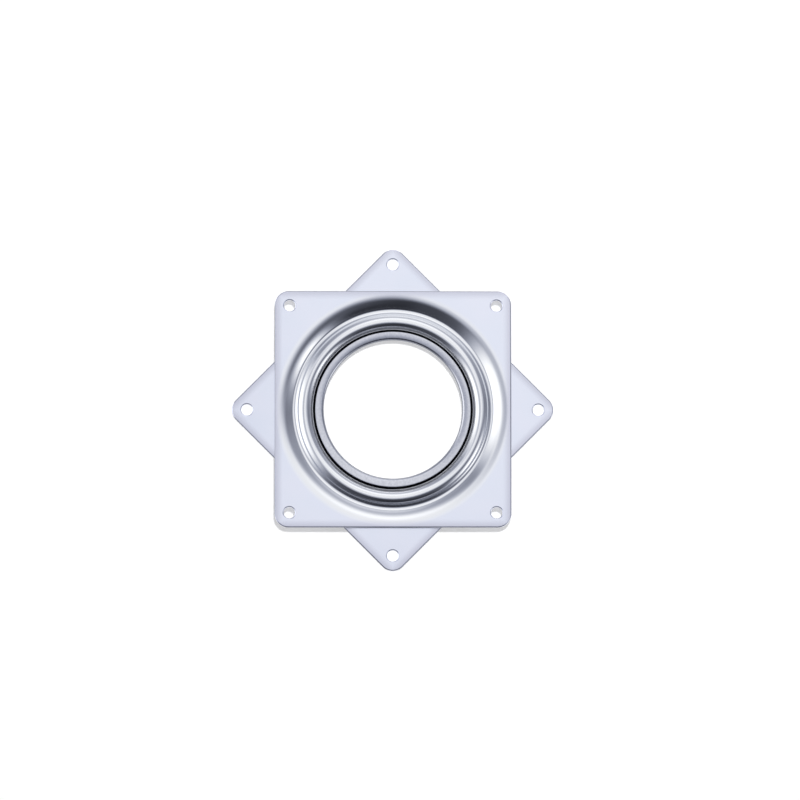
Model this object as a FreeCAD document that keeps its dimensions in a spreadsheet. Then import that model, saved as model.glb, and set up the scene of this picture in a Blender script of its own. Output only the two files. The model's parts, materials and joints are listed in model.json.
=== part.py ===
import FreeCAD, Part

import math
import os

import Sketcher

# Lazy susan bearing, 4 in square: two pressed steel plates that turn on one row of loose balls.
# Lengths are in millimetres. +Z is the turning axis, and the origin lies on it, in the plane
# that the lower plate stands on. The upper plate is square to X and Y, and the lower one is
# turned by half a right angle, so that its corners and screw holes stand clear.
#
# Both plates are pressed to one section. Inwards from the rim it runs: flat flange, curved
# wall, valley, the bead that is the ball race, a tight foot, and a flat inner flange. The upper
# plate ends there. The lower one goes on into a collar that passes through the upper plate
# and is rolled outwards over its inner flange. That hook holds the bearing together.

SIZES = (
    ("ball_diameter", 4.7625, "steel ball"),
    ("ball_count", 48, "balls that fill the race"),
    ("ball_play", 0.208, "space from one ball to the next"),
    ("ball_clearance", 0.08, "running clearance between ball and race"),
    ("sheet_thickness", 1.1, "steel sheet of both plates"),
    ("valley_bend", 2.43, "radius from the bead down into the valley"),
    ("valley_gap", 0.6, "space between the two plates at the valley"),
    ("wall_run", 7.65, "width of the curved wall, seen from above"),
    ("shoulder_share", 0.85, "share of the wall's curve that bulges outwards"),
    ("rim_land", 0.544, "flat left at the middle of each edge, outside the wall"),
    ("corner_round", 6.0, "radius of the plate's corners"),
    ("hole_inset", 6.35, "screw hole centre from each edge of the plate"),
    ("hole_diameter", 4.8, "screw hole"),
    ("edge_round", 0.35, "rounding of the sheared edges of outline and screw holes"),
    ("crown_recess", 0.41, "depth of the bead's crown under the mounting face"),
    ("foot_bend", 0.5, "radius from the bead into the inner flange"),
    ("inner_gap", 0.6, "space between the two inner flanges"),
    ("lip_gap", 1.05, "from the rolled lip's edge to the foot of the upper bead"),
    ("lip_width", 3.61, "from the way through the bearing to the lip's edge"),
    ("lip_rise", 12.0, "slope at which the lip leaves its bend, in degrees"),
    ("hook_bend", 0.2, "inner radius from the collar into the lip"),
    ("collar_bend", 0.4, "inner radius from the lower flange into the collar"),
    ("collar_clearance", 0.7, "from the collar to the upper plate's inner edge"),
    ("hook_clearance", 0.3, "from the inside of the lip to the edge that it holds"),
    ("plate_turn", 45.0, "turn of the lower plate against the upper one, in degrees"),
)

# What follows from the sizes above. Heights are measured from the plane of the ball centres
# towards a plate's own mounting face.
FITS = (
    ("crown_radius", "Sizes.ball_diameter / 2 + Sizes.ball_clearance + Sizes.sheet_thickness",
     "outside of the bead about the ball centre"),
    ("half_height", "crown_radius + Sizes.crown_recess", "mounting face"),
    ("valley_top", "Sizes.valley_gap / 2 + Sizes.sheet_thickness", "bottom of the valley"),
    ("flange_top", "Sizes.inner_gap / 2 + Sizes.sheet_thickness", "inner flange"),
    ("pitch_radius", "(Sizes.ball_diameter + Sizes.ball_play) / (2 * sin(180 / Sizes.ball_count))",
     "circle through the ball centres"),
    ("valley_radius", "pitch_radius + sqrt((crown_radius + Sizes.valley_bend) ^ 2"
     " - (valley_top + Sizes.valley_bend) ^ 2)", "deepest line of the valley"),
    ("wall_drop", "half_height - valley_top", "depth of the curved wall"),
    ("wall_curve", "(Sizes.wall_run ^ 2 + wall_drop ^ 2) / (2 * wall_drop)",
     "sum of the wall's two radii, which meet without a corner"),
    ("shoulder_radius", "wall_curve * Sizes.shoulder_share", "upper curve of the wall"),
    ("recess_radius", "valley_radius + Sizes.wall_run", "start of the curved wall"),
    ("plate_half", "recess_radius + Sizes.rim_land", "from the axis to each side of the square"),
    ("blank_radius", "plate_half * 1.5", "round blank that the square is trimmed from"),
    ("foot_line", "pitch_radius - sqrt((crown_radius + Sizes.foot_bend) ^ 2"
     " - (flange_top + Sizes.foot_bend) ^ 2)", "radius where the inner flange starts"),
    ("lip_edge", "foot_line - Sizes.lip_gap", "outer edge of the lip"),
    ("bore_radius", "lip_edge - Sizes.lip_width", "way through the bearing"),
    ("held_radius", "bore_radius + Sizes.sheet_thickness + Sizes.collar_clearance",
     "inner edge of the upper plate"),
    ("bend_radius", "Sizes.collar_bend + Sizes.sheet_thickness", "bore side of the collar bend"),
    ("hook_radius", "Sizes.hook_bend + Sizes.sheet_thickness", "bore side of the lip's bend"),
    ("lip_radius", "hook_radius + (Sizes.lip_width - hook_radius) / sin(Sizes.lip_rise)",
     "shallow dome of the lip"),
    ("lip_height", "sqrt((lip_radius - Sizes.sheet_thickness) ^ 2 - (lip_edge - held_radius) ^ 2)"
     " - flange_top - Sizes.hook_clearance",
     "centre of the dome, so that its inside clears the held edge by the hook clearance"),
)

SCREW_HOLES = 4
INWARDS = math.pi
DOWN = 1.5 * math.pi
START, END, CENTRE = 1, 2, 3
ORIGIN = (-1, 1)
HORIZONTAL_AXIS = -1
SAME_POINT = 1e-6


def make_sizes(doc):
    """Spreadsheet of the driving sizes: one row each, with name, value and meaning."""
    sheet = doc.addObject("Spreadsheet::Sheet", "Sizes")
    for row, (name, value, meaning) in enumerate(SIZES, start=1):
        sheet.set(f"A{row}", name)
        sheet.set(f"B{row}", str(value))
        sheet.set(f"C{row}", meaning)
        sheet.setAlias(f"B{row}", name)
    doc.recompute()
    return sheet


def make_fits(doc):
    """Lengths worked out from the driving sizes."""
    fits = doc.addObject("App::VarSet", "Fits")
    for name, formula, meaning in FITS:
        fits.addProperty("App::PropertyFloat", name, "Fits", meaning)
        fits.setExpression(name, formula)
    doc.recompute()
    return fits


def origin_part(body, role):
    """One of the body's own origin planes or axes."""
    return next(part for part in body.Origin.OriginFeatures if part.Role == role)


def add_sketch(body, name, role):
    sketch = body.newObject("Sketcher::SketchObject", name)
    sketch.AttachmentSupport = (origin_part(body, role), [""])
    sketch.MapMode = "FlatFace"
    return sketch


def tie(sketch, formula, kind, *where):
    """Adds a dimension to the sketch and ties it to a formula."""
    value = FreeCAD.ActiveDocument.Sizes.evalExpression(formula)
    index = sketch.addConstraint(Sketcher.Constraint(kind, *where, float(value)))
    sketch.setExpression(f"Constraints[{index}]", formula)


def join(sketch, kind, first, second):
    sketch.addConstraint(Sketcher.Constraint(kind, *first, *second))


def outward(heading):
    """Direction of the mounting face for a sheet that runs along heading."""
    return FreeCAD.Vector(math.sin(heading), -math.cos(heading), 0)


def plate_bends(sheet, fits, hooked):
    """Bends of the pressed section, inwards from the rim. X is the radius and Y the height.
    Each bend has its centre, the radius of its mounting face and the heading in which the
    sheet leaves it. A radius is negative where the mounting face is the inside of the bend.
    With no heading given, the next bend follows without a straight."""
    valley_outer = fits.wall_curve - fits.shoulder_radius
    centre = FreeCAD.Vector
    bends = [
        (centre(fits.recess_radius, fits.half_height - fits.shoulder_radius),
         fits.shoulder_radius, None),
        (centre(fits.valley_radius, fits.valley_top + valley_outer), -valley_outer, INWARDS),
        (centre(fits.valley_radius, fits.valley_top + sheet.valley_bend),
         -sheet.valley_bend, None),
        (centre(fits.pitch_radius, 0), fits.crown_radius, None),
        (centre(fits.foot_line, fits.flange_top + sheet.foot_bend), -sheet.foot_bend, INWARDS),
    ]
    if hooked:
        rise = math.radians(sheet.lip_rise)
        hook_height = fits.lip_height - math.cos(rise) * (fits.lip_radius - fits.hook_radius)
        bends += [
            (centre(fits.bore_radius + fits.bend_radius, fits.flange_top - fits.bend_radius),
             fits.bend_radius, DOWN),
            (centre(fits.bore_radius + fits.hook_radius, hook_height), fits.hook_radius, None),
            (centre(fits.lip_edge, fits.lip_height), fits.lip_radius, 2 * math.pi),
        ]
    return bends


def bend_headings(bends):
    """Heading of the sheet before the first bend and after each bend."""
    headings = [INWARDS]
    for (centre, radius, leaving), (following, next_radius, _) in zip(bends, bends[1:]):
        if leaving is None:
            normal = (following - centre) * (1 / (radius - next_radius))
            leaving = math.atan2(normal.x, -normal.y) % (2 * math.pi)
        headings.append(leaving)
    return headings + [bends[-1][2]]


def draw_face(sketch, bends, depth, rim, inner_edge):
    """Draws one face of the sheet, depth under the mounting face: a straight flange, then the
    bends. Returns its pieces as (geometry, first end, last end) and the arcs among them."""
    headings = bend_headings(bends)
    half_turn = math.pi / 2
    pieces, arcs = [], []

    def straight(begin, end, direction):
        line = sketch.addGeometry(Part.LineSegment(begin, end), False)
        sketch.addConstraint(Sketcher.Constraint(direction, line))
        pieces.append((line, START, END))

    place = FreeCAD.Vector(rim, bends[0][0].y + bends[0][1] - depth, 0)
    for (centre, radius, _), come, leave in zip(bends, headings, headings[1:]):
        touch = centre + outward(come) * (radius - depth)
        if touch.distanceToPoint(place) > SAME_POINT:
            straight(place, touch, "Horizontal" if come == INWARDS else "Vertical")
        side = -half_turn if radius > 0 else half_turn
        low, high = sorted((come + side, leave + side))
        circle = Part.Circle(centre, FreeCAD.Vector(0, 0, 1), abs(radius - depth))
        arc = sketch.addGeometry(Part.ArcOfCircle(circle, low, high), False)
        arcs.append(arc)
        pieces.append((arc, START, END) if leave > come else (arc, END, START))
        place = centre + outward(leave) * (radius - depth)
    if inner_edge is not None:
        straight(place, FreeCAD.Vector(inner_edge, place.y, 0), "Horizontal")
    for (one, _, last), (other, first, _) in zip(pieces, pieces[1:]):
        join(sketch, "Tangent", (one, last), (other, first))
    return pieces, arcs


def close_section(sketch, mounting, hidden):
    """Joins the two faces at the rim and at the inner end. Returns both edges."""
    edges = []
    for at, side in ((0, 1), (-1, 2)):
        near = (mounting[at][0], mounting[at][side])
        far = (hidden[at][0], hidden[at][side])
        line = Part.LineSegment(sketch.getPoint(*near), sketch.getPoint(*far))
        edge = sketch.addGeometry(line, False)
        join(sketch, "Coincident", (edge, START), near)
        join(sketch, "Coincident", (edge, END), far)
        edges.append(edge)
    return edges


def draw_section(sketch, sheet, fits, hooked):
    """The closed section of one pressed plate, in the half plane of radius and height."""
    bends = plate_bends(sheet, fits, hooked)
    rim = fits.blank_radius
    inner_edge = None if hooked else fits.held_radius
    mounting, arcs = draw_face(sketch, bends, 0, rim, inner_edge)
    hidden, hidden_arcs = draw_face(sketch, bends, sheet.sheet_thickness, rim, inner_edge)
    rim_edge, last_edge = close_section(sketch, mounting, hidden)
    for arc, hidden_arc in zip(arcs, hidden_arcs):
        join(sketch, "Coincident", (arc, CENTRE), (hidden_arc, CENTRE))

    sketch.addConstraint(Sketcher.Constraint("Vertical", rim_edge))
    tie(sketch, "Sizes.sheet_thickness", "Distance", rim_edge)
    tie(sketch, "Fits.blank_radius", "DistanceX", *ORIGIN, rim_edge, START)
    tie(sketch, "Fits.half_height", "DistanceY", *ORIGIN, rim_edge, START)

    shoulder, valley_out, valley_in, crown, foot = arcs[:5]
    tie(sketch, "Fits.recess_radius", "DistanceX", *ORIGIN, shoulder, CENTRE)
    tie(sketch, "Fits.shoulder_radius", "Radius", shoulder)
    join(sketch, "Vertical", (valley_out, CENTRE), (valley_in, CENTRE))
    tie(sketch, "Sizes.valley_bend", "Radius", valley_in)
    tie(sketch, "Fits.valley_top + Sizes.valley_bend", "DistanceY", *ORIGIN, valley_in, CENTRE)
    tie(sketch, "Fits.crown_radius", "Radius", crown)
    tie(sketch, "Fits.pitch_radius", "DistanceX", *ORIGIN, crown, CENTRE)
    join(sketch, "PointOnObject", (crown, CENTRE), (HORIZONTAL_AXIS,))
    tie(sketch, "Sizes.foot_bend", "Radius", foot)
    tie(sketch, "Fits.flange_top + Sizes.foot_bend", "DistanceY", *ORIGIN, foot, CENTRE)
    if hooked:
        bend, hook, lip = arcs[5:]
        tie(sketch, "Fits.bend_radius", "Radius", bend)
        tie(sketch, "Fits.hook_radius", "Radius", hook)
        tie(sketch, "Fits.bore_radius + Fits.hook_radius", "DistanceX", *ORIGIN, hook, CENTRE)
        tie(sketch, "Fits.lip_radius", "Radius", lip)
        tie(sketch, "Fits.lip_edge", "DistanceX", *ORIGIN, lip, CENTRE)
        tie(sketch, "Fits.lip_height", "DistanceY", *ORIGIN, lip, CENTRE)
        join(sketch, "Vertical", (lip, CENTRE), (lip, END))
        sketch.addConstraint(Sketcher.Constraint("Vertical", last_edge))
    else:
        sketch.addConstraint(Sketcher.Constraint("Vertical", last_edge))
        tie(sketch, "Fits.held_radius", "DistanceX", *ORIGIN, last_edge, START)


def draw_outline(sketch, sheet, fits):
    """Rounded square of the plate inside a circle round the blank, so that a cut between them
    leaves the square."""
    circle = Part.Circle(FreeCAD.Vector(), FreeCAD.Vector(0, 0, 1), 2 * fits.plate_half)
    ring = sketch.addGeometry(circle, False)
    join(sketch, "Coincident", (ring, CENTRE), ORIGIN)
    tie(sketch, "2 * Fits.plate_half", "Radius", ring)

    half = fits.plate_half
    flat = half - sheet.corner_round
    quarter = math.pi / 2
    sides, corners = [], []
    for k in range(4):
        turn = FreeCAD.Rotation(FreeCAD.Vector(0, 0, 1), 90 * k)
        begin = turn.multVec(FreeCAD.Vector(half, -flat, 0))
        end = turn.multVec(FreeCAD.Vector(half, flat, 0))
        sides.append(sketch.addGeometry(Part.LineSegment(begin, end), False))
        middle = turn.multVec(FreeCAD.Vector(flat, flat, 0))
        circle = Part.Circle(middle, FreeCAD.Vector(0, 0, 1), sheet.corner_round)
        arc = Part.ArcOfCircle(circle, quarter * k, quarter * (k + 1))
        corners.append(sketch.addGeometry(arc, False))
    for k in range(4):
        following = sides[(k + 1) % 4]
        join(sketch, "Tangent", (sides[k], END), (corners[k], START))
        join(sketch, "Tangent", (corners[k], END), (following, START))
        sketch.addConstraint(Sketcher.Constraint("Horizontal" if k % 2 else "Vertical", sides[k]))
    for corner in corners[1:]:
        sketch.addConstraint(Sketcher.Constraint("Equal", corners[0], corner))
    tie(sketch, "Sizes.corner_round", "Radius", corners[0])
    for corner, sign in ((corners[0], ""), (corners[2], "-")):
        reach = f"{sign}(Fits.plate_half - Sizes.corner_round)"
        tie(sketch, reach, "DistanceX", *ORIGIN, corner, CENTRE)
        tie(sketch, reach, "DistanceY", *ORIGIN, corner, CENTRE)


def draw_screw_hole(sketch, sheet, fits):
    reach = fits.plate_half - sheet.hole_inset
    centre = FreeCAD.Vector(reach, reach, 0)
    circle = Part.Circle(centre, FreeCAD.Vector(0, 0, 1), sheet.hole_diameter / 2)
    hole = sketch.addGeometry(circle, False)
    tie(sketch, "Sizes.hole_diameter / 2", "Radius", hole)
    for kind in ("DistanceX", "DistanceY"):
        tie(sketch, "Fits.plate_half - Sizes.hole_inset", kind, *ORIGIN, hole, CENTRE)


def cut_through(body, name, draw, sheet, fits):
    """Cuts a sketched outline through the whole plate, both ways from its middle plane."""
    before = body.Tip.Shape.Volume
    sketch = add_sketch(body, name + "Sketch", "XY_Plane")
    draw(sketch, sheet, fits)
    cut = body.newObject("PartDesign::Pocket", name)
    cut.Profile = sketch
    cut.Type = "ThroughAll"
    cut.Midplane = True
    body.Document.recompute()
    if not cut.Shape.Volume < before:
        raise RuntimeError(f"{body.Label}: {name} takes nothing away")
    return cut


def sheared_edges(shape, sheet, fits):
    """Names of the edges of the outline and of the screw holes, in both faces of the flange."""
    levels = (fits.half_height, fits.half_height - sheet.sheet_thickness)
    names = []
    for number, edge in enumerate(shape.Edges, start=1):
        box = edge.BoundBox
        flat = box.ZLength < SAME_POINT
        in_face = any(abs(box.ZMin - level) < SAME_POINT for level in levels)
        pressed = abs(getattr(edge.Curve, "Radius", 0) - fits.recess_radius) < SAME_POINT
        if flat and in_face and not pressed:
            names.append(f"Edge{number}")
    return names


def make_plate(doc, label, sheet, fits, hooked):
    """A pressed plate about its own middle: section revolved, trimmed square, holes pierced."""
    body = doc.addObject("PartDesign::Body", label)
    body.Label = label
    section = add_sketch(body, "Section", "XZ_Plane")
    draw_section(section, sheet, fits, hooked)
    pressed = body.newObject("PartDesign::Revolution", "Pressed")
    pressed.Profile = section
    pressed.ReferenceAxis = (section, ["V_Axis"])
    pressed.Angle = 360
    doc.recompute()

    cut_through(body, "Trim", draw_outline, sheet, fits)
    hole = cut_through(body, "ScrewHole", draw_screw_hole, sheet, fits)
    holes = body.newObject("PartDesign::PolarPattern", "ScrewHoles")
    holes.Originals = [hole]
    holes.Axis = (origin_part(body, "Z_Axis"), [""])
    holes.Occurrences = SCREW_HOLES
    body.Tip = holes
    doc.recompute()

    rounded = body.newObject("PartDesign::Fillet", "ShearedEdges")
    rounded.Base = (holes, sheared_edges(holes.Shape, sheet, fits))
    rounded.setExpression("Radius", "Sizes.edge_round")
    body.Tip = rounded
    doc.recompute()
    return body


def place_plates(upper, lower):
    """The upper plate faces up, and the lower one lies on its face and is turned."""
    middle = "create(<<vector>>; 0; 0; Fits.half_height)"
    turned = "create(<<rotation>>; Sizes.plate_turn; 0; 180)"
    upper.setExpression("Placement.Base.z", "Fits.half_height")
    lower.setExpression("Placement", f"create(<<placement>>; {middle}; {turned})")


def make_balls(doc, sheet):
    """The balls fill the race, evenly spaced."""
    balls = []
    for k in range(int(sheet.ball_count)):
        ball = doc.addObject("Part::Sphere", f"ball_{k + 1:02d}")
        ball.setExpression("Radius", "Sizes.ball_diameter / 2")
        turn = f"{k} * 360 / Sizes.ball_count"
        ball.setExpression("Placement.Base.x", f"Fits.pitch_radius * cos({turn})")
        ball.setExpression("Placement.Base.y", f"Fits.pitch_radius * sin({turn})")
        ball.setExpression("Placement.Base.z", "Fits.half_height")
        balls.append(ball)
    return balls


def check(doc, parts):
    for thing in doc.Objects:
        if "Invalid" in thing.State or "Error" in thing.State:
            raise RuntimeError(f"{thing.Label}: {thing.State}")
    for part in parts:
        shape = part.Shape
        if shape.isNull() or not shape.isValid() or len(shape.Solids) != 1:
            raise RuntimeError(f"{part.Label}: bad shape")


def main():
    doc = FreeCAD.newDocument("LazySusanBearing")
    sheet = make_sizes(doc)
    fits = make_fits(doc)
    upper = make_plate(doc, "upper_plate", sheet, fits, hooked=False)
    lower = make_plate(doc, "lower_plate", sheet, fits, hooked=True)
    place_plates(upper, lower)
    parts = [upper, lower, *make_balls(doc, sheet)]
    doc.recompute()
    check(doc, parts)

    os.makedirs("parts", exist_ok=True)
    for part in parts:
        part.Shape.exportStep(f"parts/{part.Label}.step")


main()
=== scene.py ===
import json
import math

import bmesh
import bpy
import numpy as np
from mathutils import Matrix, Vector


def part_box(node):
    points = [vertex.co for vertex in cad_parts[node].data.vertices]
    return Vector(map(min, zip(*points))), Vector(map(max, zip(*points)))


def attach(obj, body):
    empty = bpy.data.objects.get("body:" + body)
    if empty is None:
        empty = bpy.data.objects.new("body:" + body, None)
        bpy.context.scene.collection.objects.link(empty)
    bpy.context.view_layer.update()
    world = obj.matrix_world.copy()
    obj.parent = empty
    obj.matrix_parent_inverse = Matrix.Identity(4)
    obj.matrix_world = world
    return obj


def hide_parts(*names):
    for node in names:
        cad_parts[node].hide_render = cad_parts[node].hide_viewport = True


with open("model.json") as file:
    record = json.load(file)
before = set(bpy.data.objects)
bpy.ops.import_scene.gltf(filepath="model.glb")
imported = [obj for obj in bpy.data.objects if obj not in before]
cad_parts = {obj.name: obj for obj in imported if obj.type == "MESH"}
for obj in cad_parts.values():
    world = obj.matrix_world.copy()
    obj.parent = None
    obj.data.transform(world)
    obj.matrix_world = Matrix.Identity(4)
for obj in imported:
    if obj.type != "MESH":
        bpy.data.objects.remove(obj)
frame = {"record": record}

# Lazy susan bearing: pressed steel plates with a bright zinc finish on a row of polished balls.
# Lengths are in metres, and MM turns a workshop size in millimetres into metres.
MM = 0.001

# Sizes of the pressed section, as on the workshop drawing
SHEET = 1.1 * MM
BALL_COUNT = 48
BALL_PLAY = 0.208 * MM
BALL_CLEARANCE = 0.08 * MM
VALLEY_BEND = 2.43 * MM
VALLEY_GAP = 0.6 * MM
WALL_RUN = 7.65 * MM
SHOULDER_SHARE = 0.85
CORNER_ROUND = 6.04 * MM
HOLE_INSET = 6.35 * MM
HOLE_RADIUS = 2.4 * MM
EDGE_ROUND = 0.5 * MM
FOOT_BEND = 0.5 * MM
INNER_GAP = 0.6 * MM
LIP_GAP = 1.05 * MM
LIP_WIDTH = 3.61 * MM
LIP_RISE = math.radians(12)
HOOK_BEND = 0.2 * MM
COLLAR_BEND = 0.4 * MM
COLLAR_CLEARANCE = 0.7 * MM
HOOK_CLEARANCE = 0.3 * MM
LIP_EDGE_ROUND = 0.16 * MM
PLATE_TURN = math.radians(45)

# Sizes read from the frame
BALL_RADIUS = (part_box("ball_01")[1][2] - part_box("ball_01")[0][2]) / 2
UPPER_LOW, UPPER_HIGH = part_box("upper_plate")
PLATE_HALF = 0.0508
TOP_LEVEL = UPPER_HIGH[2]
MIDDLE_LEVEL = TOP_LEVEL / 2

# Fineness of the meshes
TURNS = 288
ARC_STEP = math.radians(3.5)
CORNER_STEPS = 22
HOLE_STEPS = 48
EDGE_STEPS = 5
WELD = 1e-6
SHARP_ANGLE = math.radians(40)
LEVEL = 0.99999

# Finishes: colours in sRGB, and pattern sizes
ZINC_LAVENDER = "#E9EAF7"
ZINC_BLUE = "#DDE4F3"
# The edge colour is painted shade: the flange greys towards its sheared edges.
ZINC_EDGE_SHADE = "#D0D2E1"
ZINC_DRAWN = "#E9EBF0"
ZINC_ROUGHNESS = 0.13
ZINC_EDGE_ROUGHNESS = 0.2
# The sheared grey is partly the dull cut steel and partly painted shade of the edge's dark line.
SHEARED_GREY_AND_SHADE = "#A4A7B4"
SHEARED_ROUGHNESS = 0.3
SHEARED_WIDTH = 0.45 * MM
LIP_LIGHT = "#DDDFE7"
LIP_DARK = "#BCBFCB"
# The lip rim grey is painted shade on the steep inner curl of the lip.
LIP_RIM_SHADE = "#8A8D97"
LIP_RIM = 30.25 * MM
LIP_ROUGHNESS = 0.18
LIP_ZONE = 33.9 * MM
LIP_MARKS = 0.9 * MM
# The seam colour is painted shade: a near black colour in the shaded groove under the lip.
SEAM_PAINTED_SHADE = "#0D0E12"
SEAM_ROUGHNESS = 0.6
SEAM_ZONE = 34.5 * MM
FLANK_ZONE = 36.0 * MM
FLANK_ROUGHNESS = 0.55
BALL_COLOUR = "#D9DADD"
# Width over which the edge gets rougher and greys with painted shade.
EDGE_DULLING_AND_SHADE = 4.0 * MM
CLOUD_SIZE = 22 * MM
DRAW_MARK = 0.25 * MM
GRAIN_SIZE = 0.4 * MM
MIST_SIZE = 1.5 * MM
RELIEF_STRENGTH = 0.25
RELIEF_DEPTH = 0.004 * MM

# Studio: a white tent, and the boards in front of it that the bright metal mirrors. A board is
# the azimuth of its middle from +X, its half width and how softly its sides fade, the angles
# from straight up at which it starts and ends, its brightness, and how softly it starts and
# ends. Angles are in degrees, and a later board stands in front of the ones before it.
TENT_RADIUS = 1.2
STUDIO_BOARDS = (
    (65, 55, 60, 32, 90, 1.4, 28),
    (75, 68, 8, 46, 75, 0.55, 30),
    (77, 65, 10, 95, 108, 0.03, 28),
    (185, 50, 60, 8, 32, 0.55, 12),
    (190, 37, 45, 37, 125, 1.5, 40),
    (135, 12, 54, 36, 84, 0.2, 18),
    (122, 13, 43, 54, 125, 0.35, 35),
    (10, 20, 43, 38, 125, 0.05, 20),
    (238, 26, 43, 23, 125, 0.13, 17),
    (280, 44, 60, 15, 80, 0.03, 36),
    (277, 23, 18, 83, 125, 0.55, 18),
    (327, 44, 60, 20, 45, 0.1, 35),
    (330, 12, 24, 55, 120, 1.5, 40),
    (24, 21, 57, 38, 95, 0.35, 40),
)
DARK_RED_LOSS = 0.06
DARK_BLUE_GAIN = 0.25
PAPER_SHADE = 0.8
PAPER_GLOW = 0.36
WORLD_LIGHT = 0.25
KEY_POWER = 15.0
FILL_POWER = 2.0

# Camera: its place in the photo's frame of 800 pixels a side, and its scale there
PHOTO_SIZE = 800
PHOTO_CENTRE = (392.9, 409.6)
PHOTO_SCALE = 2.324
CAMERA_DISTANCE = 1.4
CAMERA_TILT = math.radians(3.5)
CAMERA_AZIMUTH = math.radians(-22)

RECESS = 50.256 * MM
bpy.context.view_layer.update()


def linear(hex_colour):
    """sRGB hex to linear red, green, blue and alpha."""
    def channel(text):
        value = int(text, 16) / 255
        return value / 12.92 if value <= 0.04045 else ((value + 0.055) / 1.055) ** 2.4
    return tuple(channel(hex_colour[k:k + 2]) for k in (1, 3, 5)) + (1.0,)


def add_node(tree, kind, links=None, **settings):
    """Adds a node with its settings and links. A link is input name or index: other socket."""
    node = tree.nodes.new(kind)
    for name, value in settings.items():
        if hasattr(node, name):
            setattr(node, name, value)
        else:
            node.inputs[name.replace("_", " ")].default_value = value
    for name, socket in (links or {}).items():
        tree.links.new(socket, node.inputs[name])
    return node


def new_material(name):
    material = bpy.data.materials.new(name)
    material.use_nodes = True
    material.node_tree.nodes.clear()
    return material, material.node_tree


def outward(heading):
    """Side of the mounting face for a sheet that runs along heading."""
    return np.array([math.sin(heading), -math.cos(heading)])


def bead_distance(bend, level):
    """From the bead's centre line to that of a bend which runs into it at that level."""
    crown = BALL_RADIUS + BALL_CLEARANCE + SHEET
    return math.sqrt((crown + bend) ** 2 - (level + bend) ** 2)


def plate_bends(hooked):
    """Bends of the pressed section from the rim inwards: centre as (radius, height), radius of
    the mounting face (negative where it is the inside of the bend) and the heading after it.
    Heights start at the plane of the ball centres."""
    inwards, down = math.pi, 1.5 * math.pi
    crown = BALL_RADIUS + BALL_CLEARANCE + SHEET
    valley_top = VALLEY_GAP / 2 + SHEET
    flange_top = INNER_GAP / 2 + SHEET
    pitch = pitch_radius()
    valley = pitch + bead_distance(VALLEY_BEND, valley_top)
    foot = pitch - bead_distance(FOOT_BEND, flange_top)
    drop = MIDDLE_LEVEL - valley_top
    curve = (WALL_RUN ** 2 + drop ** 2) / (2 * drop)
    shoulder = curve * SHOULDER_SHARE
    valley_outer = curve - shoulder
    slope = 2 * math.atan(drop / WALL_RUN)
    bead_slope = math.acos((valley_top + VALLEY_BEND) / (crown + VALLEY_BEND))
    foot_slope = math.acos((flange_top + FOOT_BEND) / (crown + FOOT_BEND))
    bends = [
        ((valley + WALL_RUN, MIDDLE_LEVEL - shoulder), shoulder, inwards + slope),
        ((valley, valley_top + valley_outer), -valley_outer, inwards),
        ((valley, valley_top + VALLEY_BEND), -VALLEY_BEND, inwards - bead_slope),
        ((pitch, 0.0), crown, inwards + foot_slope),
        ((foot, flange_top + FOOT_BEND), -FOOT_BEND, inwards),
    ]
    bore, held, hook, hook_height, lip, lip_height = hook_sizes(foot, flange_top)
    if hooked:
        bend = COLLAR_BEND + SHEET
        bends.append(((bore + bend, flange_top - bend), bend, down))
        bends.append(((bore + hook, hook_height), hook, 2 * math.pi - LIP_RISE))
        bends.append(((bore + LIP_WIDTH, lip_height), lip, 2 * math.pi))
    return bends, held


def hook_sizes(foot, flange_top):
    """Way through the bearing, held edge of the other plate, and then radius and centre height
    of the tight bend at the top of the collar and of the shallow dome of the lip."""
    hook = HOOK_BEND + SHEET
    bore = foot - LIP_GAP - LIP_WIDTH
    held = bore + SHEET + COLLAR_CLEARANCE
    lip = hook + (LIP_WIDTH - hook) / math.sin(LIP_RISE)
    over_edge = math.sqrt((lip - SHEET) ** 2 - (bore + LIP_WIDTH - held) ** 2)
    lip_height = over_edge - flange_top - HOOK_CLEARANCE
    return bore, held, hook, lip_height - math.cos(LIP_RISE) * (lip - hook), lip, lip_height


def pitch_radius():
    return (2 * BALL_RADIUS + BALL_PLAY) / (2 * math.sin(math.pi / BALL_COUNT))


def face_line(bends, depth, inner_edge):
    """Points of one face of the sheet, depth under the mounting face, from the rim inwards."""
    points = []
    come = math.pi
    for centre, radius, leave in bends:
        steps = max(2, math.ceil(abs(leave - come) / ARC_STEP))
        for heading in np.linspace(come, leave, steps + 1):
            point = np.array(centre) + outward(heading) * (radius - depth)
            if not points or np.linalg.norm(point - points[-1]) > 1e-7:
                points.append(point)
        come = leave
    if inner_edge is not None:
        points.append(np.array([inner_edge, points[-1][1]]))
    return points


def section_line(hooked):
    """The pressed ring's section, from the rim on the mounting face round to the rim on the
    hidden face, with the cut edge of the sheet eased."""
    bends, held_edge = plate_bends(hooked)
    inner_edge = None if hooked else held_edge
    mounting = face_line(bends, 0.0, inner_edge)
    hidden = face_line(bends, SHEET, inner_edge)
    last, across = mounting[-1], (hidden[-1] - mounting[-1]) / SHEET
    along = np.array([across[1], -across[0]])
    if np.dot(along, mounting[-1] - mounting[-2]) < 0:
        along = -along
    ease = LIP_EDGE_ROUND
    rounding = []
    for turn in np.linspace(0, math.pi / 2, EDGE_STEPS):
        rounding.append((ease * (1 - math.sin(turn)), ease * (1 - math.cos(turn))))
    near = [last - along * back + across * depth for back, depth in rounding]
    far = [last - along * back + across * (SHEET - depth) for back, depth in reversed(rounding)]
    keep = [point for point in mounting if np.linalg.norm(point - last) > ease]
    keep_hidden = [point for point in hidden if np.linalg.norm(point - hidden[-1]) > ease]
    return keep + near + far + keep_hidden[::-1]


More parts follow.
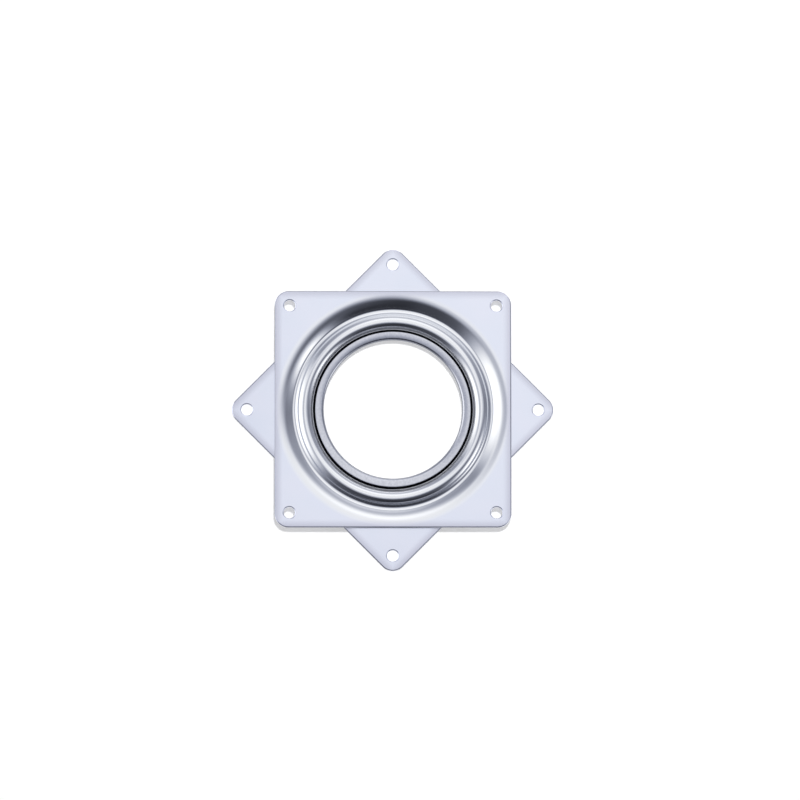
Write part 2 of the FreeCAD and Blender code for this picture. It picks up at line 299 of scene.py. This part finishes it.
def turned_ring_tree():
    """Node tree that turns a section, given as the object's vertices in the XZ plane, into a
    full ring round Z."""
    tree = bpy.data.node_groups.new("turned ring", "GeometryNodeTree")
    face = tree.interface
    face.new_socket("Section", in_out="INPUT", socket_type="NodeSocketGeometry")
    face.new_socket("Turns", in_out="INPUT", socket_type="NodeSocketInt")
    face.new_socket("Weld distance", in_out="INPUT", socket_type="NodeSocketFloat")
    face.new_socket("Finish", in_out="INPUT", socket_type="NodeSocketMaterial")
    face.new_socket("Ring", in_out="OUTPUT", socket_type="NodeSocketGeometry")
    given = add_node(tree, "NodeGroupInput").outputs
    section = given["Section"]
    size = add_node(tree, "GeometryNodeAttributeDomainSize", {"Geometry": section})
    columns = add_node(tree, "ShaderNodeMath", {0: given["Turns"]}, operation="ADD")
    columns.inputs[1].default_value = 1
    grid = add_node(tree, "GeometryNodeMeshGrid",
                    {"Vertices X": size.outputs["Point Count"], "Vertices Y": columns.outputs[0]})
    index = add_node(tree, "GeometryNodeInputIndex")
    ratio = add_node(tree, "ShaderNodeMath", {0: index.outputs[0], 1: columns.outputs[0]},
                     operation="DIVIDE")
    row = add_node(tree, "ShaderNodeMath", {0: ratio.outputs[0]}, operation="FLOOR")
    column = add_node(tree, "ShaderNodeMath", {0: index.outputs[0], 1: columns.outputs[0]},
                      operation="MODULO")
    place = add_node(tree, "GeometryNodeInputPosition")
    point = add_node(tree, "GeometryNodeSampleIndex", data_type="FLOAT_VECTOR", domain="POINT")
    tree.links.new(section, point.inputs["Geometry"])
    tree.links.new(place.outputs[0], point.inputs["Value"])
    tree.links.new(row.outputs[0], point.inputs["Index"])
    share = add_node(tree, "ShaderNodeMath", {0: column.outputs[0], 1: given["Turns"]},
                     operation="DIVIDE")
    angle = add_node(tree, "ShaderNodeMath", {0: share.outputs[0]}, operation="MULTIPLY")
    angle.inputs[1].default_value = 2 * math.pi
    turned = add_node(tree, "ShaderNodeVectorRotate",
                      {"Vector": point.outputs["Value"], "Angle": angle.outputs[0]},
                      rotation_type="Z_AXIS")
    ring = add_node(tree, "GeometryNodeSetPosition",
                    {"Geometry": grid.outputs["Mesh"], "Position": turned.outputs[0]})
    welded = add_node(tree, "GeometryNodeMergeByDistance",
                      {"Geometry": ring.outputs[0], "Distance": given["Weld distance"]})
    real = add_node(tree, "GeometryNodeRealizeInstances", {"Geometry": welded.outputs[0]})
    finished = add_node(tree, "GeometryNodeSetMaterial",
                        {"Geometry": real.outputs[0], "Material": given["Finish"]})
    add_node(tree, "NodeGroupOutput", {"Ring": finished.outputs[0]})
    return tree


def ball_row_tree():
    """Node tree that sets balls at even spacing on a circle round Z."""
    tree = bpy.data.node_groups.new("row of balls", "GeometryNodeTree")
    face = tree.interface
    face.new_socket("Start", in_out="INPUT", socket_type="NodeSocketGeometry")
    face.new_socket("Balls", in_out="INPUT", socket_type="NodeSocketInt")
    face.new_socket("Pitch radius", in_out="INPUT", socket_type="NodeSocketFloat")
    face.new_socket("Ball radius", in_out="INPUT", socket_type="NodeSocketFloat")
    face.new_socket("Height", in_out="INPUT", socket_type="NodeSocketFloat")
    face.new_socket("Finish", in_out="INPUT", socket_type="NodeSocketMaterial")
    face.new_socket("Row", in_out="OUTPUT", socket_type="NodeSocketGeometry")
    given = add_node(tree, "NodeGroupInput").outputs
    circle = add_node(tree, "GeometryNodeCurvePrimitiveCircle",
                      {"Resolution": given["Balls"], "Radius": given["Pitch radius"]})
    lift = add_node(tree, "ShaderNodeCombineXYZ", {"Z": given["Height"]})
    lifted = add_node(tree, "GeometryNodeTransform",
                      {"Geometry": circle.outputs[0], "Translation": lift.outputs[0]})
    ball = add_node(tree, "GeometryNodeMeshUVSphere", {"Radius": given["Ball radius"]},
                    Segments=40, Rings=20)
    smooth = add_node(tree, "GeometryNodeSetShadeSmooth", {0: ball.outputs[0]})
    placed = add_node(tree, "GeometryNodeInstanceOnPoints",
                      {"Points": lifted.outputs[0], "Instance": smooth.outputs[0]})
    real = add_node(tree, "GeometryNodeRealizeInstances", {"Geometry": placed.outputs[0]})
    finished = add_node(tree, "GeometryNodeSetMaterial",
                        {"Geometry": real.outputs[0], "Material": given["Finish"]})
    add_node(tree, "NodeGroupOutput", {"Row": finished.outputs[0]})
    return tree


def grow(name, start_mesh, tree, values):
    """Runs a node tree on a mesh and returns the result as a plain mesh object."""
    seed = bpy.data.objects.new(name, start_mesh)
    bpy.context.scene.collection.objects.link(seed)
    modifier = seed.modifiers.new("Nodes", "NODES")
    modifier.node_group = tree
    for item in tree.interface.items_tree:
        if item.in_out == "INPUT" and item.name in values:
            modifier[item.identifier] = values[item.name]
    bpy.context.view_layer.update()
    grown = bpy.data.meshes.new_from_object(seed.evaluated_get(bpy.context.evaluated_depsgraph_get()))
    seed.modifiers.remove(modifier)
    grown.materials.clear()
    grown.materials.append(values["Finish"])
    grown.polygons.foreach_set("material_index", [0] * len(grown.polygons))
    seed.data = grown
    return seed


def rounded_square(inset):
    """Outline of the plate, moved inwards by inset, anticlockwise."""
    points = []
    flat = PLATE_HALF - CORNER_ROUND
    for corner in range(4):
        start = corner * math.pi / 2
        middle = flat * math.sqrt(2) * np.array([math.cos(start + math.pi / 4),
                                                 math.sin(start + math.pi / 4)])
        for angle in np.linspace(start, start + math.pi / 2, CORNER_STEPS + 1):
            points.append(middle + (CORNER_ROUND - inset) * np.array([math.cos(angle), math.sin(angle)]))
    return points


def circle_points(radius, count, middle=(0.0, 0.0)):
    angles = np.arange(count) * 2 * math.pi / count
    return [np.array(middle) + radius * np.array([math.cos(a), math.sin(a)]) for a in angles]


def sheared_profile():
    """Eased cut edge of the sheet: pairs of inset from the outline and depth."""
    eased = [(EDGE_ROUND * (1 - math.sin(a)), EDGE_ROUND * (1 - math.cos(a)))
             for a in np.linspace(0, math.pi / 2, EDGE_STEPS + 1)]
    return eased + [(inset, SHEET - depth) for inset, depth in reversed(eased)]


def add_loops(mesh, outline, steps):
    """Closed loops of vertices at each (inset, depth) step, joined by walls. Returns the first
    and the last loop's edges."""
    loops = []
    for inset, depth in steps:
        loops.append([mesh.verts.new((x, y, MIDDLE_LEVEL - depth)) for x, y in outline(inset)])
    for upper, lower in zip(loops, loops[1:]):
        for k in range(len(upper)):
            after = (k + 1) % len(upper)
            wall = mesh.faces.new((upper[k], upper[after], lower[after], lower[k]))
            wall.smooth = True
    return [edges_round(mesh, loop) for loop in (loops[0], loops[-1])]


def edges_round(mesh, loop):
    pairs = zip(loop, loop[1:] + loop[:1])
    return [mesh.edges.get(pair) or mesh.edges.new(pair) for pair in pairs]


def add_flange(mesh, recess):
    """The flat flange with its outline and screw holes, open where the pressed ring joins."""
    steps = sheared_profile()
    reach = PLATE_HALF - HOLE_INSET
    faces = [[], []]
    for found, edges in zip(faces, add_loops(mesh, rounded_square, steps)):
        found += edges
    for sign_x, sign_y in ((1, 1), (-1, 1), (-1, -1), (1, -1)):
        middle = (sign_x * reach, sign_y * reach)
        rim = lambda inset: circle_points(HOLE_RADIUS + inset, HOLE_STEPS, middle)
        for found, edges in zip(faces, add_loops(mesh, rim, steps)):
            found += edges
    for found, depth in zip(faces, (0.0, SHEET)):
        ring = [mesh.verts.new((x, y, MIDDLE_LEVEL - depth)) for x, y in circle_points(recess, TURNS)]
        found += edges_round(mesh, ring)
        bmesh.ops.triangle_fill(mesh, use_beauty=True, use_dissolve=False, edges=found,
                                normal=(0, 0, 1 if depth == 0 else -1))


def pressed_plate(name, hooked, finish, ring_tree):
    """One plate about its own middle, mounting face up: flange and turned ring in one sheet."""
    line = section_line(hooked)
    seed = bpy.data.meshes.new(name + "_section")
    seed.from_pydata([(r, 0.0, z) for r, z in line], [], [])
    plate = grow(name, seed, ring_tree,
                 {"Turns": TURNS, "Weld distance": WELD, "Finish": finish})
    mesh = bmesh.new()
    mesh.from_mesh(plate.data)
    for face in mesh.faces:
        face.smooth = True
    add_flange(mesh, line[0][0])
    bmesh.ops.remove_doubles(mesh, verts=mesh.verts, dist=WELD)
    bmesh.ops.recalc_face_normals(mesh, faces=mesh.faces)
    mesh.to_mesh(plate.data)
    mesh.free()
    plate.data.set_sharp_from_angle(angle=SHARP_ANGLE)
    for polygon in plate.data.polygons:
        if abs(polygon.normal.z) > LEVEL:
            polygon.use_smooth = False
    return plate


def place_plate(plate, lift, flipped, turn):
    """Bakes a plate's place into its mesh."""
    from_middle = Matrix.Translation((0, 0, lift)) @ Matrix.Rotation(turn, 4, "Z")
    if flipped:
        from_middle = from_middle @ Matrix.Rotation(math.pi, 4, "X")
    plate.data.transform(from_middle)
    plate.data.update()


def ramp(tree, value, start, end, smooth=True):
    """0 before start and 1 after end, along a value."""
    node = add_node(tree, "ShaderNodeMapRange", {"Value": value},
                    interpolation_type="SMOOTHSTEP" if smooth else "LINEAR")
    node.inputs["From Min"].default_value = start
    node.inputs["From Max"].default_value = end
    return node.outputs[0]


def blend(tree, factor, first, second, kind="RGBA"):
    """Mix of two sockets or values by a factor socket."""
    node = add_node(tree, "ShaderNodeMix", {"Factor": factor}, data_type=kind)
    for name, source in (("A", first), ("B", second)):
        socket = next(s for s in node.inputs if s.name == name and s.enabled)
        if isinstance(source, bpy.types.NodeSocket):
            tree.links.new(source, socket)
        else:
            socket.default_value = source
    return next(s for s in node.outputs if s.enabled)


def noise(tree, place, size, detail=2.0):
    """Noise with patches of about the given size."""
    node = add_node(tree, "ShaderNodeTexNoise", {"Vector": place}, Detail=detail)
    node.inputs["Scale"].default_value = 1 / size
    return node.outputs["Fac"]


def zinc_plate(name, turn, hooked):
    """Bright zinc plating on pressed cold-rolled sheet. The plating gives a cool, slightly
    lavender silver, the press leaves faint rings round the race, and the finish is duller
    towards the sheared edges, where the colour greys with painted shade; the cut edge itself is
    a grey that is partly the dull sheared steel and partly painted shade. On the lower plate the
    lip is duller, where the tool rolled it over, and its steep inner curl has painted shade. On
    the upper plate the seam under that lip has painted shade, a near black colour."""
    material, tree = new_material(name)
    place = add_node(tree, "ShaderNodeTexCoord").outputs["Object"]
    own = add_node(tree, "ShaderNodeMapping", {"Vector": place})
    own.inputs["Rotation"].default_value = (0, 0, turn)
    own = own.outputs[0]
    split = add_node(tree, "ShaderNodeSeparateXYZ", {0: own})
    across = [add_node(tree, "ShaderNodeMath", {0: split.outputs[axis]}, operation="ABSOLUTE")
              for axis in ("X", "Y")]
    far = add_node(tree, "ShaderNodeMath", {0: across[0].outputs[0], 1: across[1].outputs[0]},
                   operation="MAXIMUM").outputs[0]
    # The edge ramp greys the colour as painted shade, and raises the roughness.
    edge = ramp(tree, far, PLATE_HALF - EDGE_DULLING_AND_SHADE, PLATE_HALF)
    flat = add_node(tree, "ShaderNodeVectorMath", {0: place}, operation="MULTIPLY")
    flat.inputs[1].default_value = (1, 1, 0)
    radius = add_node(tree, "ShaderNodeVectorMath", {0: flat.outputs[0]},
                      operation="LENGTH").outputs["Value"]
    pressed = ramp(tree, radius, RECESS + 1.0 * MM, RECESS - 2.0 * MM)

    drift = blend(tree, noise(tree, own, CLOUD_SIZE), linear(ZINC_LAVENDER), linear(ZINC_BLUE))
    drift = blend(tree, pressed, drift, linear(ZINC_DRAWN))
    tint = blend(tree, edge, drift, linear(ZINC_EDGE_SHADE))
    gloss = blend(tree, edge, ZINC_ROUGHNESS, ZINC_EDGE_ROUGHNESS, "FLOAT")
    # The sheared band is partly the dull cut steel and partly painted shade.
    sheared = ramp(tree, far, PLATE_HALF - SHEARED_WIDTH, PLATE_HALF - SHEARED_WIDTH / 2)
    tint = blend(tree, sheared, tint, linear(SHEARED_GREY_AND_SHADE))
    gloss = blend(tree, sheared, gloss, SHEARED_ROUGHNESS, "FLOAT")
    if hooked:
        lip = ramp(tree, radius, LIP_ZONE, LIP_ZONE - 0.2 * MM)
        worked = blend(tree, noise(tree, place, LIP_MARKS, 3.0), linear(LIP_LIGHT), linear(LIP_DARK))
        tint = blend(tree, lip, tint, worked)
        # Painted shade: a darker grey on the steep inner curl of the lip.
        rim = ramp(tree, radius, LIP_RIM, LIP_RIM - 0.25 * MM)
        tint = blend(tree, rim, tint, linear(LIP_RIM_SHADE))
        gloss = blend(tree, lip, gloss, LIP_ROUGHNESS, "FLOAT")
    else:
        flank = ramp(tree, radius, FLANK_ZONE, FLANK_ZONE - 0.8 * MM)
        gloss = blend(tree, flank, gloss, FLANK_ROUGHNESS, "FLOAT")
        # Painted shade: the seam under the lip is coloured near black and made rough.
        seam = ramp(tree, radius, SEAM_ZONE, SEAM_ZONE - 0.15 * MM)
        tint = blend(tree, seam, tint, linear(SEAM_PAINTED_SHADE))
        gloss = blend(tree, seam, gloss, SEAM_ROUGHNESS, "FLOAT")

    rings = add_node(tree, "ShaderNodeTexNoise", {"W": radius}, noise_dimensions="1D", Detail=2.0)
    rings.inputs["Scale"].default_value = 1 / DRAW_MARK
    relief = blend(tree, pressed, noise(tree, own, GRAIN_SIZE, 3.0), rings.outputs["Fac"], "FLOAT")
    bump = add_node(tree, "ShaderNodeBump", {"Height": relief})
    bump.inputs["Strength"].default_value = RELIEF_STRENGTH
    bump.inputs["Distance"].default_value = RELIEF_DEPTH
    metal = add_node(tree, "ShaderNodeBsdfPrincipled",
                     {"Base Color": tint, "Roughness": gloss, "Normal": bump.outputs[0]}, Metallic=1.0)
    add_node(tree, "ShaderNodeOutputMaterial", {"Surface": metal.outputs[0]})
    return material


def ball_steel():
    """Polished chrome steel balls: a near mirror with a thin film of oil mist in patches."""
    material, tree = new_material("Polished chrome steel")
    place = add_node(tree, "ShaderNodeTexCoord").outputs["Object"]
    gloss = blend(tree, noise(tree, place, MIST_SIZE), 0.05, 0.16, "FLOAT")
    metal = add_node(tree, "ShaderNodeBsdfPrincipled", {"Roughness": gloss}, Metallic=1.0)
    metal.inputs["Base Color"].default_value = linear(BALL_COLOUR)
    add_node(tree, "ShaderNodeOutputMaterial", {"Surface": metal.outputs[0]})
    return material


def seen_directly(tree):
    """Light Path factor that is 1 for what the camera, gloss and glass see."""
    path = add_node(tree, "ShaderNodeLightPath").outputs
    first = add_node(tree, "ShaderNodeMath",
                     {0: path["Is Camera Ray"], 1: path["Is Glossy Ray"]}, operation="MAXIMUM")
    return add_node(tree, "ShaderNodeMath",
                    {0: first.outputs[0], 1: path["Is Transmission Ray"]},
                    operation="MAXIMUM").outputs[0]


def studio_paper():
    """White sweep: seen as white, and it keeps the soft shadow of the bearing."""
    material, tree = new_material("White studio paper")
    paper = add_node(tree, "ShaderNodeBsdfDiffuse")
    paper.inputs["Color"].default_value = (PAPER_SHADE, PAPER_SHADE, PAPER_SHADE, 1)
    glow = add_node(tree, "ShaderNodeEmission", {"Strength": scaled(tree, seen_directly(tree), PAPER_GLOW)})
    both = add_node(tree, "ShaderNodeAddShader", {0: paper.outputs[0], 1: glow.outputs[0]})
    add_node(tree, "ShaderNodeOutputMaterial", {"Surface": both.outputs[0]})
    return material


def scaled(tree, socket, factor):
    product = add_node(tree, "ShaderNodeMath", {0: socket}, operation="MULTIPLY")
    product.inputs[1].default_value = factor
    return product.outputs[0]


def soft_step(inside, fade):
    """0 outside a border and 1 where it is fade inside, without a kink."""
    share = min(max(inside / fade + 0.5, 0.0), 1.0)
    return share * share * (3 - 2 * share)


def board_level(azimuth, zenith):
    """Brightness of the set in one direction: the white tent with every board in front of it."""
    level = 1.0
    for middle, half_width, side_fade, start, end, shade, fade in STUDIO_BOARDS:
        away = abs((azimuth - middle + 180) % 360 - 180)
        cover = (soft_step(half_width - away, side_fade) * soft_step(zenith - start, fade)
                 * soft_step(end - zenith, fade))
        level += (shade - level) * cover
    return level


def add_reflected_set():
    """A tent round the bearing that only its gloss sees, with the boards and flags that give
    pressed zinc its bright and dark bands."""
    rows, columns = 46, 180
    vertices, shades = [], []
    for row in range(rows + 1):
        zenith = 92 * row / rows
        for column in range(columns):
            azimuth = 360 * column / columns
            tilt, turn = math.radians(zenith), math.radians(azimuth)
            vertices.append((TENT_RADIUS * math.sin(tilt) * math.cos(turn),
                             TENT_RADIUS * math.sin(tilt) * math.sin(turn),
                             TENT_RADIUS * math.cos(tilt)))
            level = board_level(azimuth, zenith)
            dark = max(1 - level, 0)
            shades.append([level * (1 - DARK_RED_LOSS * dark), level, level * (1 + DARK_BLUE_GAIN * dark), 1])
    faces = []
    for row in range(rows):
        for column in range(columns):
            after = (column + 1) % columns
            faces.append((row * columns + column, row * columns + after,
                          (row + 1) * columns + after, (row + 1) * columns + column))
    mesh = bpy.data.meshes.new("studio_tent")
    mesh.from_pydata(vertices, [], faces)
    shade = mesh.color_attributes.new("shade", "FLOAT_COLOR", "POINT")
    shade.data.foreach_set("color", np.array(shades).ravel())
    tent = bpy.data.objects.new("studio_tent", mesh)
    bpy.context.scene.collection.objects.link(tent)

    material, tree = new_material("Studio tent")
    own = add_node(tree, "ShaderNodeVertexColor", layer_name="shade")
    glow = add_node(tree, "ShaderNodeEmission", {"Color": own.outputs["Color"]})
    add_node(tree, "ShaderNodeOutputMaterial", {"Surface": glow.outputs[0]})
    tent.data.materials.append(material)
    for seen_by in ("visible_camera", "visible_diffuse", "visible_transmission", "visible_shadow",
                    "visible_volume_scatter"):
        setattr(tent, seen_by, False)


def add_stage():
    """White floor and white surroundings."""
    bpy.ops.mesh.primitive_plane_add(size=6.0, location=(0, 0, 0))
    floor = bpy.context.object
    floor.name = "studio_floor"
    floor.data.materials.append(studio_paper())

    world = bpy.data.worlds.new("White surroundings")
    world.use_nodes = True
    tree = world.node_tree
    tree.nodes.clear()
    soft = add_node(tree, "ShaderNodeBackground", Strength=WORLD_LIGHT)
    soft.inputs["Color"].default_value = (1, 1, 1, 1)
    white = add_node(tree, "ShaderNodeBackground", Strength=1.0)
    white.inputs["Color"].default_value = (1, 1, 1, 1)
    both = add_node(tree, "ShaderNodeMixShader",
                    {0: seen_directly(tree), 1: soft.outputs[0], 2: white.outputs[0]})
    add_node(tree, "ShaderNodeOutputWorld", {"Surface": both.outputs[0]})
    bpy.context.scene.world = world


def add_lamp(name, azimuth, zenith, distance, size, power):
    """Soft box aimed at the bearing. Cards make its reflection, so gloss doesn't see it."""
    light = bpy.data.lights.new(name, "AREA")
    light.shape = "SQUARE"
    light.size = size
    light.energy = power
    lamp = bpy.data.objects.new(name, light)
    tilt, turn = math.radians(zenith), math.radians(azimuth)
    lamp.location = (distance * math.sin(tilt) * math.cos(turn),
                     distance * math.sin(tilt) * math.sin(turn), distance * math.cos(tilt))
    lamp.rotation_euler = (-lamp.location).to_track_quat("-Z", "Y").to_euler()
    lamp.visible_camera = False
    lamp.visible_glossy = False
    bpy.context.scene.collection.objects.link(lamp)


def add_camera():
    """Far above the bearing and a little to its front left, as in the photo."""
    direction = Vector((math.sin(CAMERA_TILT) * math.sin(CAMERA_AZIMUTH),
                        -math.sin(CAMERA_TILT) * math.cos(CAMERA_AZIMUTH), math.cos(CAMERA_TILT)))
    right = Vector((0, 1, 0)).cross(direction).normalized()
    up = direction.cross(right)
    metres_per_pixel = MM / PHOTO_SCALE
    middle = Vector((0, 0, MIDDLE_LEVEL))
    aim = (middle + right * (PHOTO_SIZE / 2 - PHOTO_CENTRE[0]) * metres_per_pixel
           + up * (PHOTO_CENTRE[1] - PHOTO_SIZE / 2) * metres_per_pixel)
    data = bpy.data.cameras.new("Camera")
    data.angle = 2 * math.atan(PHOTO_SIZE / 2 * metres_per_pixel / CAMERA_DISTANCE)
    camera = bpy.data.objects.new("Camera", data)
    camera.matrix_world = Matrix((
        (right.x, up.x, direction.x, aim.x + direction.x * CAMERA_DISTANCE),
        (right.y, up.y, direction.y, aim.y + direction.y * CAMERA_DISTANCE),
        (right.z, up.z, direction.z, aim.z + direction.z * CAMERA_DISTANCE),
        (0, 0, 0, 1)))
    bpy.context.scene.collection.objects.link(camera)
    bpy.context.scene.camera = camera


def main():
    zinc_upper = zinc_plate("Bright zinc plate, upper", 0.0, False)
    zinc_lower = zinc_plate("Bright zinc plate, lower", -PLATE_TURN, True)
    polished = ball_steel()
    ring_tree = turned_ring_tree()

    upper = pressed_plate("upper_plate_pressing", False, zinc_upper, ring_tree)
    place_plate(upper, MIDDLE_LEVEL, False, 0.0)
    lower = pressed_plate("lower_plate_pressing", True, zinc_lower, ring_tree)
    place_plate(lower, MIDDLE_LEVEL, True, PLATE_TURN)
    balls = grow("ball_row", bpy.data.meshes.new("ball_row"), ball_row_tree(),
                 {"Balls": BALL_COUNT, "Pitch radius": pitch_radius(), "Ball radius": BALL_RADIUS,
                  "Height": MIDDLE_LEVEL, "Finish": polished})

    for piece, body, nodes, finish in (
            (upper, "upper_plate", ["upper_plate"], "zinc_plated_steel"),
            (lower, "lower_plate", ["lower_plate"], "zinc_plated_steel"),
            (balls, "ball_set", frame["record"]["behaviour"]["bodies"]["ball_set"], "polished_steel")):
        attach(piece, body)
        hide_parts(*nodes)

    add_stage()
    add_reflected_set()
    add_lamp("back_soft_box", 80, 12, 1.6, 0.1, KEY_POWER)
    add_lamp("top_soft_box", -60, 20, 1.8, 1.2, FILL_POWER)
    add_camera()
    bpy.context.scene.view_settings.view_transform = "Standard"


main()
